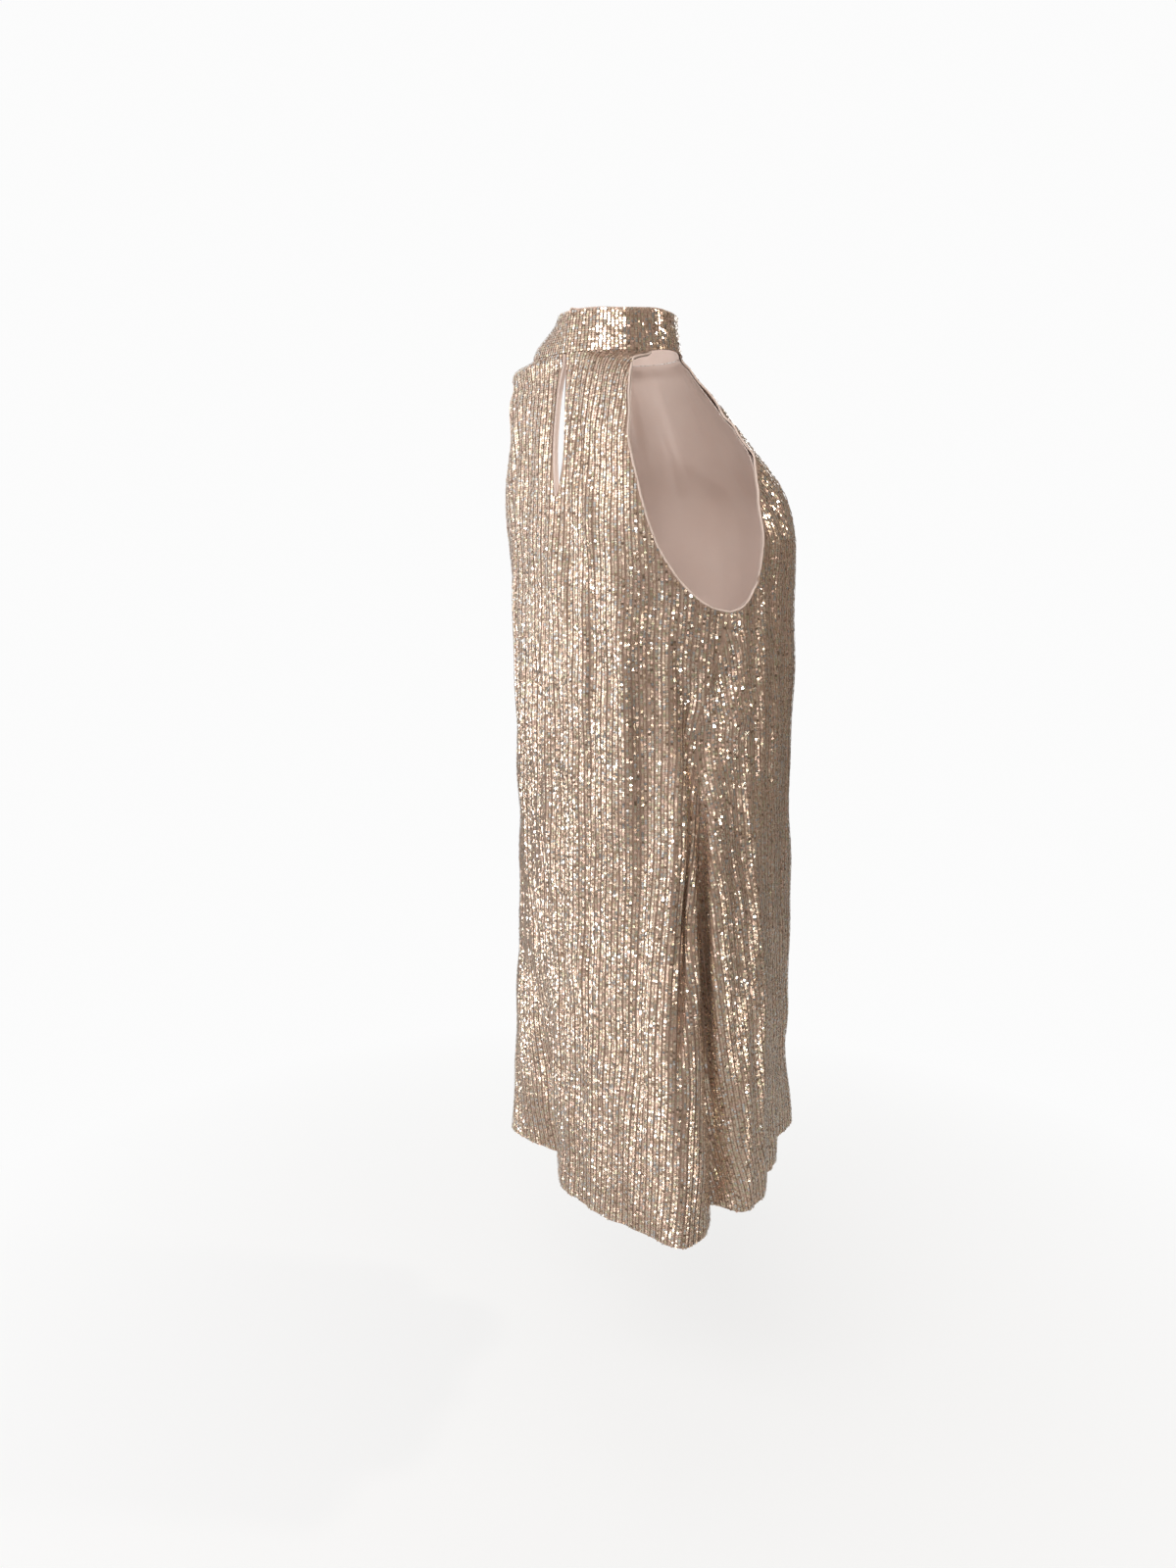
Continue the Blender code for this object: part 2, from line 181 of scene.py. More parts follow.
# height, half angle of the front panel's armhole edge from the centre front
FRONT_EDGE = np.array([
    (0.000, 38.0), (-0.020, 41.0), (-0.050, 48.0), (-0.075, 56.0), (-0.100, 66.0), (-0.130, 76.0),
    (-0.165, 84.5), (-0.210, 87.5), (-0.240, 89.5), (-0.262, 93.5), (-0.275, 98.5), (UNDERARM, 103.0)])

# height, right side seam, left side seam, from the centre back
SIDE_SEAMS = np.array([
    (UNDERARM, 77.0, 77.0), (-0.430, 66.5, 78.0), (-0.630, 67.5, 79.0), (HEM, 75.5, 80.0)])

# Small creases of the outer cloth, each a soft trough or ridge along a line.
# first angle, first height, last angle, last height, depth, width in metres
CREASES = (
    (63.6, -0.40, 56.6, -0.82, 0.0100, 0.0085),
    (63.9, -0.34, 56.6, -0.86, -0.0155, 0.0034),
    (59.2, -0.38, 51.8, -0.84, 0.0050, 0.0050),
    (65.6, -0.44, 61.5, -0.84, 0.0050, 0.0045),
    (67.6, -0.46, 72.0, -0.94, -0.0150, 0.0030),
    (71.5, -0.44, 77.5, -0.90, 0.0140, 0.0110),
    (76.0, -0.46, 86.0, -0.80, -0.0035, 0.0045),
    (47.0, -0.42, 41.0, -0.96, -0.0042, 0.0095),
    (36.0, -0.20, 30.0, -0.86, 0.0036, 0.0110),
    (8, -0.17, 14, -0.36, -0.0028, 0.009),
    (24, -0.20, 22, -0.62, -0.0034, 0.0085),
    (14, -0.36, 10, -0.96, 0.0034, 0.0080),
    (31, -0.05, 41, -0.16, 0.0014, 0.008),
    (56, -0.29, 62, -0.39, -0.0040, 0.007),
    (71, -0.31, 68, -0.40, 0.0050, 0.008),
    (84, -0.33, 70, -0.41, -0.0045, 0.007),
    (92, -0.37, 74, -0.43, 0.0040, 0.008),
    (78, -0.45, 90, -0.66, -0.0035, 0.009),
    (84, -0.50, 101, -0.80, 0.0030, 0.010),
    (96, -0.55, 118, -0.92, -0.0028, 0.012),
    (104, -0.30, 112, -0.50, -0.0025, 0.010),
    (122, -0.26, 131, -0.55, 0.0024, 0.012),
    (138, -0.22, 146, -0.48, -0.0026, 0.010),
    (150, -0.16, 158, -0.36, 0.0018, 0.010),
    (165, -0.24, 169, -0.52, -0.0022, 0.011),
    (-176, -0.20, -172, -0.60, 0.0020, 0.012),
    (-158, -0.18, -154, -0.44, -0.0024, 0.010),
    (-144, -0.24, -134, -0.50, 0.0022, 0.012),
    (-128, -0.28, -124, -0.62, -0.0026, 0.010),
    (-112, -0.27, -98, -0.40, 0.0026, 0.009),
    (-90, -0.29, -86, -0.56, -0.0030, 0.010),
    (-72, -0.27, -67, -0.50, 0.0022, 0.010),
    (-64, -0.32, -60, -0.78, -0.0026, 0.011),
    (-46, -0.21, -50, -0.46, -0.0022, 0.009),
    (-28, -0.25, -26, -0.58, 0.0026, 0.010),
    (-14, -0.18, -17, -0.42, -0.0024, 0.010),
    (-6, -0.22, -5, -0.66, 0.0020, 0.010),
    (4, -0.56, 2, -0.98, -0.0030, 0.009),
    (26, -0.56, 21, -1.00, 0.0036, 0.008),
    (33, -0.60, 30, -1.02, -0.0034, 0.008),
    (48, -0.66, 46, -1.02, 0.0026, 0.008),
    (-16, -0.50, -19, -0.96, 0.0030, 0.009),
    (88, -0.70, 92, -1.02, 0.0022, 0.010),
    (128, -0.62, 130, -1.02, 0.0020, 0.012),
    (160, -0.66, 156, -1.02, -0.0024, 0.012),
    (-170, -0.70, -176, -1.02, -0.0020, 0.011),
    (-108, -0.72, -106, -1.02, -0.0020, 0.010),
    (-40, -0.74, -36, -1.02, 0.0022, 0.012))

# A slow unevenness of the cloth: waves round the dress, waves down it, depth, start
UNEVENNESS = (
    (9, 3.0, 0.0009, 0.3),
    (14, 5.0, 0.0007, 1.9),
    (23, 2.0, 0.0006, 4.1),
    (6, 9.0, 0.0007, 2.6))

# Upright ripples in patches, which make the sequins flash in streaks.
# waves round, waves down, depth, patches round, patches down, start
RIPPLES = (
    (33, 0.6, 0.0011, 5, 1.3, 0.4),
    (26, -0.7, 0.0012, 4, -1.7, 2.2),
    (45, 0.4, 0.0007, 7, 2.1, 3.9),
    (58, -0.5, 0.0004, 6, 1.1, 1.2))

# The photograph's point of view
CAMERA_PLACE = (-1.108, 0.908, -0.177)
CAMERA_TARGET = (-0.3407, 0.3085, -0.3983)
CAMERA_LENS = 27.05
SENSOR = 36.0
FLOOR_HEIGHT = -1.445
FLOOR_HALF_WIDTH = 14.0


# ---------------------------------------------------------------- the form

def smooth_table(height, table):
    """Read a table's columns at any height, smoothly and with no overshoot."""
    down = -table[:, 0]
    values = table[:, 1:]
    step = np.diff(down)
    slope = np.diff(values, axis=0) / step[:, None]
    tangent = np.zeros_like(values)
    both = slope[:-1] + slope[1:]
    same_way = slope[:-1] * slope[1:] > 0
    tangent[1:-1] = np.where(same_way, 2 * slope[:-1] * slope[1:] / np.where(same_way, both, 1), 0)
    tangent[0] = slope[0]
    tangent[-1] = slope[-1]
    at = np.clip(-np.asarray(height, float), down[0], down[-1])
    row = np.clip(np.searchsorted(down, at, side="right") - 1, 0, len(step) - 1)
    t = ((at - down[row]) / step[row])[..., None]
    run = step[row][..., None]
    return ((2 * t**3 - 3 * t**2 + 1) * values[row] + (t**3 - 2 * t**2 + t) * run * tangent[row]
            + (3 * t**2 - 2 * t**3) * values[row + 1] + (t**3 - t**2) * run * tangent[row + 1])


def turn(angle, centre):
    """The signed angle from a centre, within half a turn."""
    return (angle - centre + 180) % 360 - 180


def shoulder_flare(angle, height):
    """How far the cloth stands out over the left shoulder."""
    side = np.exp(-(turn(angle, SHOULDER_FLARE["angle"]) / SHOULDER_FLARE["width"])**2)
    low = SHOULDER_FLARE["down_to"]
    t = np.clip((height - low) / (COLLAR_HEIGHT - low), 0, 1)
    return SHOULDER_FLARE["depth"] * side * np.sin(math.pi * t**SHOULDER_FLARE["lean"])**2


def swell(angle, middle, width, depth, hollows_only):
    """A rounded ridge or hollow at an angle; the lining follows only the hollows."""
    if hollows_only and depth > 0:
        return 0.0
    spread = width * (LINING_SMOOTHNESS if hollows_only else 1.0)
    return depth * np.exp(-(turn(angle, middle) / spread)**2)


def form(angle, height, hollows_only=False):
    """Points of the frame's outer surface, or of the same form with only its hollows."""
    angle, height = np.broadcast_arrays(np.asarray(angle, float), np.asarray(height, float))
    centre_y, back_wide, back_deep, front_wide, front_deep, power = np.moveaxis(
        smooth_table(height, SECTIONS), -1, 0)
    sine = np.sin(np.radians(angle))
    cosine = np.cos(np.radians(angle))
    wide = np.where(cosine > 0, back_wide, front_wide)
    deep = np.where(cosine > 0, back_deep, front_deep)
    radius = ((np.abs(sine) / wide)**power + (np.abs(cosine) / deep)**power)**(-1 / power)
    for start_angle, hem_angle, start, depth, width, growth in FLUTES:
        t = np.clip((start - height) / (start - HEM), 0, 1)
        middle = start_angle + (hem_angle - start_angle) * t
        radius = radius + t**growth * swell(angle, middle, width, depth, hollows_only)
    for top_angle, low_angle, top, low, depth, width in FOLDS:
        t = np.clip((top - height) / (top - low), 0, 1)
        middle = top_angle + (low_angle - top_angle) * t
        radius = radius + np.sin(math.pi * t)**2 * swell(angle, middle, width, depth, hollows_only)
    radius = radius + shoulder_flare(angle, height)
    return np.stack([-radius * sine, centre_y + radius * cosine, height], axis=-1)


def normals_of(surface, angle, height):
    """Unit normals of a surface function, pointing out."""
    around = surface(angle + 0.05, height) - surface(angle - 0.05, height)
    down = surface(angle, height - 0.0005) - surface(angle, height + 0.0005)
    normal = np.cross(down, around)
    return normal / np.linalg.norm(normal, axis=-1, keepdims=True)


def crease_depth(angle, height):
    """How far the small creases and the cloth's unevenness move it out."""
    depth = np.zeros(np.broadcast(angle, height).shape)
    metres_per_degree = math.radians(0.18)
    for first_angle, first, last_angle, last, deep, width in CREASES:
        across = turn(angle, first_angle) * metres_per_degree
        run = turn(last_angle, first_angle) * metres_per_degree
        fall = first - last
        length = math.hypot(run, fall)
        along = (across * run + (first - height) * fall) / length
        aside = (across * fall - (first - height) * run) / length
        t = np.clip(along / length, 0, 1)
        ends = np.where((along > 0) & (along < length), np.sin(math.pi * t)**1.3, 0)
        depth = depth + deep * ends * np.exp(-(aside / width)**2)
    below_neck = np.clip(-np.asarray(height) / 0.08, 0, 1)
    for round_waves, down_waves, deep, start in UNEVENNESS:
        turned = np.radians(angle) * round_waves + height * 2 * math.pi * down_waves + start
        depth = depth + deep * below_neck * np.sin(turned)
    turned = np.radians(angle)
    for round_waves, down_waves, deep, patch_round, patch_down, start in RIPPLES:
        patch = 0.5 + 0.5 * np.sin(turned * patch_round + height * 2 * math.pi * patch_down + 2 * start)
        wave = np.sin(turned * round_waves + height * 2 * math.pi * down_waves + start
                      + 1.3 * np.sin(height * 11 + turned * 5 + start))
        depth = depth + deep * below_neck * patch * wave
    return depth


def keyhole_gape(angle, height):
    """The slit's left flap stands off the back, and its right flap lies a little deeper."""
    t = np.clip(height / SLIT_BOTTOM, 0, 1)
    lens = np.sin(math.pi * t)**2 * np.exp(-(np.abs(turn(angle, 0)) / SLIT_FLAP_SPREAD)**2)
    return lens * np.where(turn(angle, 0) < 0, SLIT_FLAP_OUT, -SLIT_FLAP_IN)


def cloth(angle, height):
    """Points of the outer cloth with its creases."""
    angle, height = np.broadcast_arrays(np.asarray(angle, float), np.asarray(height, float))
    push = crease_depth(angle, height) + keyhole_gape(angle, height)
    return form(angle, height) + push[..., None] * normals_of(form, angle, height)


def lining_form(angle, height):
    """The lining's form, with its own small wrinkles towards the hem."""
    angle, height = np.broadcast_arrays(np.asarray(angle, float), np.asarray(height, float))
    down = np.clip((height - UNDERARM) / (HEM - UNDERARM), 0, 1)
    inset = LINING_INSET_TOP + (LINING_INSET_HEM - LINING_INSET_TOP) * down**0.35
    inset = inset + np.maximum(0, -crease_depth(angle, height) - keyhole_gape(angle, height))
    wrinkle = 0.0020 * down * np.sin(np.radians(angle) * 19 + 3 * np.sin(height * 9))
    wrinkle = wrinkle + 0.0012 * down * np.sin(np.radians(angle) * 31 - height * 14)
    base = form(angle, height, True)
    normal = normals_of(lambda a, h: form(a, h, True), angle, height)
    return base - (inset + np.abs(wrinkle))[..., None] * normal


def slit_half_width(height):
    """Half the width of the keyhole slit."""
    t = np.clip(height / SLIT_BOTTOM, 0, 1)
    return SLIT_END_HALF_WIDTH + (SLIT_HALF_WIDTH - SLIT_END_HALF_WIDTH) * np.sin(math.pi * t**0.85)


def half_angles(heights, side, back):
    """A panel's half angle on one side at each height, to its armhole edge or side seam."""
    seam = smooth_table(heights, SIDE_SEAMS)[..., 0 if side > 0 else 1]
    edge = smooth_table(heights, BACK_EDGE if back else FRONT_EDGE)[..., 0]
    return np.where(heights > UNDERARM, edge, seam if back else 180 - seam)


def slit_start(heights):
    """The angle of the slit's edge, which is nothing below the slit."""
    start = np.degrees(slit_half_width(heights) / form(0.0, heights)[..., 1])
    return np.where(heights > SLIT_BOTTOM, start, 0.0)


def panel_angles(heights, back, count):
    """The grid of angles of a back or front panel, one row per height."""
    right = half_angles(heights, 1, back)[:, None]
    left = half_angles(heights, -1, back)[:, None]
    spread = 1 - (1 - np.linspace(0, 1, count + 1))**EDGE_CROWDING
    if not back:
        return np.concatenate([180 - right * spread[:0:-1], 180 + left * spread], axis=1)
    start = slit_start(heights)[:, None]
    right_side = start + (right - start) * spread
    left_side = -start - (left - start) * spread[::-1]
    return np.concatenate([left_side, right_side], axis=1)


def row_heights(upper, lower, bottom):
    """Heights from the collar seam down, closer where the cloth turns out at the neck."""
    neck = -0.034 * np.linspace(0, 1, upper // 4)**1.5
    t = np.linspace(0, 1, upper + 1)[1:]
    above = neck[-1] + (UNDERARM - neck[-1]) * (1 - (1 - t)**1.3)
    above[np.argmin(np.abs(above - SLIT_BOTTOM))] = SLIT_BOTTOM
    below = np.linspace(UNDERARM, bottom, lower + 1)[1:]
    return np.concatenate([neck, above, below])


# ---------------------------------------------------------------- materials

# Knit and weave, in metres from thread to thread
RIB_PITCH = 0.0011
LOOP_PITCH = 0.0009
LINING_WEAVE = 0.0006
EDGE_WEAVE = 0.0008

# dark, light
# the mesh's dark tone is painted shade in the wide gaps between pairs of sequin rows, and also the dark end
# of its random mottle
MESH_TONES_AND_GAP_SHADE = ((0.20, 0.115, 0.078), (0.60, 0.41, 0.30))
MESH_HIGHLIGHT = (0.66, 0.47, 0.36)
LINING_TONES = ((0.84, 0.68, 0.61), (0.94, 0.80, 0.73))
EDGE_TONES = ((0.72, 0.56, 0.48), (0.84, 0.69, 0.61))
WIRE_TONES = ((0.42, 0.42, 0.44), (0.68, 0.68, 0.70))
FLOOR_TONES = ((0.86, 0.86, 0.86), (0.90, 0.90, 0.90))
FLOOR_BOUNCE = (0.42, 0.41, 0.40, 1.0)
BACKDROP = 0.97


def add(tree, kind, settings=None, **inputs):
    """A node with its settings, and its inputs set or linked by name or number."""
    node = tree.nodes.new(kind)
    for name, value in (settings or {}).items():
        setattr(node, name, value)
    for name, value in inputs.items():
        numbered = name[0] == "_" and name[1:].isdigit()
        socket = node.inputs[int(name[1:]) if numbered else name.replace("_", " ")]
        if isinstance(value, bpy.types.NodeSocket):
            tree.links.new(value, socket)
        else:
            socket.default_value = value
    return node


def math_node(tree, operation, *values):
    """The result of one sum on values or sockets."""
    numbered = {f"_{k}": value for k, value in enumerate(values)}
    return add(tree, "ShaderNodeMath", {"operation": operation}, **numbered).outputs[0]


def mix_colour(tree, share, first, second):
    """Two colours, or sockets that give them, mixed by a share."""
    ends = [end if isinstance(end, bpy.types.NodeSocket) else (*end, 1.0) for end in (first, second)]
    return add(tree, "ShaderNodeMix", {"data_type": "RGBA"}, _0=share, _6=ends[0], _7=ends[1]).outputs[2]


def blank(name):
    """A new material, its nodes and its shader."""
    made = bpy.data.materials.new(name)
    made.use_nodes = True
    tree = made.node_tree
    return made, tree, tree.nodes["Principled BSDF"]


def flat_places(tree):
    """The cloth's own flat coordinates: metres across and metres down."""
    flat = add(tree, "ShaderNodeUVMap", {"uv_map": "flat"}).outputs[0]
    split = add(tree, "ShaderNodeSeparateXYZ", _0=flat)
    return flat, split.outputs[0], split.outputs[1]


def mesh_cloth():
    """Rose-beige stretch mesh: fine ribs, a random mottle, and painted shade in the wide gaps between pairs
    of sequin rows.
    """
    made, tree, shader = blank("stretch_mesh")
    flat, across, down = flat_places(tree)
    # painted shade: the mesh is darkest in the wide gaps between pairs of sequin rows and lightest in the
    # narrow gap within a pair
    painted_gap_shade_mask = math_node(tree, "PINGPONG", math_node(tree, "DIVIDE", across, ROW_PITCH), 1.0)
    ribs = math_node(tree, "SINE", math_node(tree, "MULTIPLY", across, 2 * math.pi / RIB_PITCH))
    loops = math_node(tree, "SINE", math_node(tree, "MULTIPLY", down, 2 * math.pi / LOOP_PITCH))
    knit = math_node(tree, "MULTIPLY", ribs, loops)
    mottle = add(tree, "ShaderNodeTexNoise", _0=flat, Scale=38.0, Detail=4.0).outputs[0]
    shade = math_node(tree, "MULTIPLY_ADD", painted_gap_shade_mask, 0.65, math_node(tree, "MULTIPLY", mottle, 0.5))
    colour = mix_colour(tree, shade, *MESH_TONES_AND_GAP_SHADE)
    colour = mix_colour(tree, math_node(tree, "MULTIPLY_ADD", knit, 0.18, 0.18), colour, MESH_HIGHLIGHT)
    tree.links.new(colour, shader.inputs["Base Color"])
    rough = math_node(tree, "MULTIPLY_ADD", mottle, 0.25, 0.50)
    tree.links.new(rough, shader.inputs["Roughness"])
    shader.inputs["Sheen Weight"].default_value = 0.25
    bump = add(tree, "ShaderNodeBump", Strength=0.5, Distance=0.0003, Height=knit)
    tree.links.new(bump.outputs[0], shader.inputs["Normal"])
    return made


def satin(name, tones, weave):
    """Satin with a fine diagonal weave and a slightly clouded sheen."""
    made, tree, shader = blank(name)
    flat, across, down = flat_places(tree)
    cloud = add(tree, "ShaderNodeTexNoise", _0=flat, Scale=14.0, Detail=3.0).outputs[0]
    slant = math_node(tree, "ADD", across, math_node(tree, "MULTIPLY", down, 0.6))
    threads = math_node(tree, "SINE", math_node(tree, "MULTIPLY", slant, 2 * math.pi / weave))
    shade = math_node(tree, "MULTIPLY_ADD", threads, 0.10, cloud)
    colour = mix_colour(tree, shade, *tones)
    tree.links.new(colour, shader.inputs["Base Color"])
    rough = math_node(tree, "MULTIPLY_ADD", cloud, 0.22, 0.24)
    tree.links.new(rough, shader.inputs["Roughness"])
    shader.inputs["Sheen Weight"].default_value = 0.35
    shader.inputs["Sheen Roughness"].default_value = 0.35
    bump = add(tree, "ShaderNodeBump", Strength=0.25, Distance=0.0002, Height=threads)
    tree.links.new(bump.outputs[0], shader.inputs["Normal"])
    return made


# name, colour, roughness, metallic, share of the sequins
SEQUIN_TONES = (
    ("sequin_champagne", (0.87, 0.68, 0.52), 0.25, 0.72, 0.35),
    ("sequin_rose", (0.86, 0.61, 0.49), 0.24, 0.72, 0.24),
    ("sequin_pale", (0.91, 0.81, 0.66), 0.14, 0.75, 0.14),
    ("sequin_bronze", (0.62, 0.44, 0.30), 0.24, 0.70, 0.11),
    ("sequin_silver", (0.95, 0.93, 0.90), 0.09, 0.85, 0.11),
    ("sequin_green_gold", (0.78, 0.71, 0.48), 0.16, 0.72, 0.07),
    ("sequin_umber", (0.34, 0.24, 0.17), 0.22, 0.70, 0.04))


def sequin_materials():
    """One foil for each tone of sequin, brighter and duller in patches."""
    made_all = []
    for name, colour, roughness, metallic, _ in SEQUIN_TONES:
        made, tree, shader = blank(name)
        places = add(tree, "ShaderNodeTexCoord").outputs["Object"]
        patina = add(tree, "ShaderNodeTexNoise", _0=places, Scale=420.0, Detail=2.0).outputs[0]
        dull = tuple(0.84 * part for part in colour)
        bright = tuple(min(1.0, 1.12 * part) for part in colour)
        tree.links.new(mix_colour(tree, patina, dull, bright), shader.inputs["Base Color"])
        rough = math_node(tree, "MULTIPLY_ADD", patina, 0.12, roughness - 0.06)
        tree.links.new(rough, shader.inputs["Roughness"])
        shader.inputs["Metallic"].default_value = metallic
        shader.inputs["Coat Weight"].default_value = 0.7
        shader.inputs["Coat Roughness"].default_value = 0.07
        made_all.append(made)
    return made_all


def wire_metal():
    """Bent steel wire with a fine grain."""
    made, tree, shader = blank("hook_wire")
    places = add(tree, "ShaderNodeTexCoord").outputs["Object"]
    grain = add(tree, "ShaderNodeTexNoise", _0=places, Scale=900.0, Detail=3.0).outputs[0]
    colour = mix_colour(tree, grain, *WIRE_TONES)
    tree.links.new(colour, shader.inputs["Base Color"])
    tree.links.new(math_node(tree, "MULTIPLY_ADD", grain, 0.25, 0.18), shader.inputs["Roughness"])
    shader.inputs["Metallic"].default_value = 1.0
    return made


# ---------------------------------------------------------------- mesh building

def new_mesh(name, points, faces, flat=None, smooth=True):
    """A mesh object from arrays; every face has the same number of corners."""
    faces = np.asarray(faces, dtype=np.int32)
    count, sides = faces.shape
    mesh = bpy.data.meshes.new(name)
    mesh.vertices.add(len(points))
    mesh.vertices.foreach_set("co", np.ascontiguousarray(points, dtype=np.float32).ravel())
    mesh.loops.add(count * sides)
    mesh.loops.foreach_set("vertex_index", faces.ravel())
    mesh.polygons.add(count)
    mesh.polygons.foreach_set("loop_start", np.arange(0, count * sides, sides, dtype=np.int32))
    mesh.polygons.foreach_set("use_smooth", np.full(count, smooth))
    mesh.update(calc_edges=True)
    if flat is not None:
        layer = mesh.uv_layers.new(name="flat")
        layer.data.foreach_set("uv", np.ascontiguousarray(flat[faces.ravel()], dtype=np.float32).ravel())
    made = bpy.data.objects.new(name, mesh)
    bpy.context.scene.collection.objects.link(made)
    return made


def flat_grid(grid, centre):
    """Flat coordinates of a grid of points: metres across from its centre column, metres down."""
    across = np.linalg.norm(np.diff(grid, axis=1), axis=2)
    across = np.concatenate([np.zeros((len(grid), 1)), np.cumsum(across, axis=1)], axis=1)
    across = across - across[:, centre:centre + 1]
    down = np.linalg.norm(np.diff(grid, axis=0), axis=2)[:, centre]
    down = np.concatenate([[0], np.cumsum(down)])
    return np.stack([across, np.broadcast_to(-down[:, None], across.shape)], axis=-1)


def thin_sheet(name, outer, inner, material, slit=None, leaning=None):
    """A closed thin wall between two grids, with its flat coordinates."""
    rows, columns = outer.shape[:2]
    count = rows * columns
    number = np.arange(count).reshape(rows, columns)
    if slit:
        number[slit[1]:, slit[0] + 1] = number[slit[1]:, slit[0]]
    cells = np.stack([number[:-1, :-1], number[1:, :-1], number[1:, 1:], number[:-1, 1:]], axis=-1)
    if slit:
        cells = np.delete(cells, slit[0], axis=1)
    cells = cells.reshape(-1, 4)
    edges = {(int(a), int(b)) for k in range(4) for a, b in zip(cells[:, k], cells[:, (k + 1) % 4])}
    rim = np.array([(b, a, a + count, b + count) for a, b in sorted(edges) if (b, a) not in edges])
    faces = np.concatenate([cells, cells[:, ::-1] + count, rim])
    used = np.unique(faces)
    renumber = np.zeros(2 * count, dtype=np.int32)
    renumber[used] = np.arange(len(used))
    points = np.concatenate([outer.reshape(-1, 3), inner.reshape(-1, 3)])[used]
    flat = flat_grid(outer, columns // 2)
    if leaning is not None:
        flat[..., 0] += np.sign(flat[..., 0]) * row_lean(np.abs(flat[..., 0]), leaning)
    flat = flat.reshape(-1, 2)
    made = new_mesh(name, points, renumber[faces], np.concatenate([flat, flat])[used])
    made.data.materials.append(material)
    made.data.set_sharp_from_angle(angle=math.radians(60))
    return made


def row_lean(across, heights):
    """How much farther from the centre front a place counts, so that the rows lean forward."""
    fall = np.clip((ROW_LEAN_TOP - heights) / (ROW_LEAN_TOP - HEM), 0, 1)[:, None]
    return ROW_LEAN * fall**0.7 * np.clip(across / ROW_LEAN_REACH, 0, 1)


def length_along(points):
    """The length along a line of points, from its first to each of them."""
    return np.concatenate([[0], np.cumsum(np.linalg.norm(np.diff(points, axis=0), axis=1))])


def round_tube(name, path, radius, sides, material):
    """A round tube along a path, its ends closed by a small cap."""
    path = np.asarray(path)
    along = np.gradient(path, axis=0)
    along /= np.linalg.norm(along, axis=1, keepdims=True)
    side = np.zeros_like(path)
    guide = np.array([0.31, 0.87, 0.38])
    for k, direction in enumerate(along):
        guide = guide - direction * guide.dot(direction)
        guide /= np.linalg.norm(guide)
        side[k] = guide
    up = np.cross(along, side)
    length = length_along(path)
    turned = np.linspace(0, 2 * math.pi, sides, endpoint=False)
    swell_along = 1 + 0.05 * np.sin(length * 900)[:, None] + 0.04 * np.sin(length * 263)[:, None]
    taper = np.ones(len(path))
    taper[[0, -1]] = 0.6
    ring = (np.cos(turned)[None, :, None] * side[:, None] + np.sin(turned)[None, :, None] * up[:, None])
    points = path[:, None] + ring * radius * (swell_along * taper[:, None])[..., None]
    number = np.arange(len(path) * sides).reshape(len(path), sides)
    after = np.roll(number, -1, axis=1)
    faces = np.stack([number[:-1], after[:-1], after[1:], number[1:]], axis=-1).reshape(-1, 4)
    ends = [len(path) * sides, len(path) * sides + 1]
    caps = [(number[0][(k + 1) % sides], number[0][k], ends[0], ends[0]) for k in range(sides)]
    caps += [(number[-1][k], number[-1][(k + 1) % sides], ends[1], ends[1]) for k in range(sides)]
    caps = np.array(caps)[:, :3]
    flat = np.stack([np.broadcast_to(turned * radius, (len(path), sides)),
                     np.broadcast_to(length[:, None], (len(path), sides))], axis=-1).reshape(-1, 2)
    flat = np.concatenate([flat, [[0, length[0]], [0, length[-1]]]])
    points = np.concatenate([points.reshape(-1, 3), path[[0, -1]]])
    triangles = np.concatenate([faces[:, [0, 1, 2]], faces[:, [0, 2, 3]], caps])
    made = new_mesh(name, points, triangles, flat)
    made.data.materials.append(material)
    return made


# ---------------------------------------------------------------- sequins

def discs(name, centres, normals, along, materials, random):
    """Sequins: small flat discs, each hung a little out at its lower edge and tilted its own way."""
    count = len(centres)
    across = np.cross(along, normals)
    across /= np.linalg.norm(across, axis=1, keepdims=True)
    hang = np.radians(SEQUIN_HANG + random.normal(0, SEQUIN_TILT, count))[:, None]
    roll = np.radians(random.normal(0, SEQUIN_TILT, count))[:, None]
    down = np.cos(hang) * along + np.sin(hang) * normals
    facing = np.cos(hang) * normals - np.sin(hang) * along
    sideways = np.cos(roll) * across + np.sin(roll) * facing
    radius = SEQUIN_RADIUS * random.uniform(0.94, 1.06, count)[:, None, None]
    corners = np.linspace(0, 2 * math.pi, SEQUIN_SIDES, endpoint=False)[None, :, None]
    turned = corners + random.uniform(0, 1, count)[:, None, None]
    ring = np.cos(turned) * down[:, None] + np.sin(turned) * sideways[:, None]
    points = (centres[:, None] + radius * ring).reshape(-1, 3)
    faces = np.arange(count * SEQUIN_SIDES).reshape(count, SEQUIN_SIDES)
    made = new_mesh(name, points, faces, smooth=False)
    for material in materials:
        made.data.materials.append(material)
    shares = np.array([tone[-1] for tone in SEQUIN_TONES])
    tones = random.choice(len(SEQUIN_TONES), count, p=shares / shares.sum())
    made.data.polygons.foreach_set("material_index", tones.astype(np.int32))
    return made


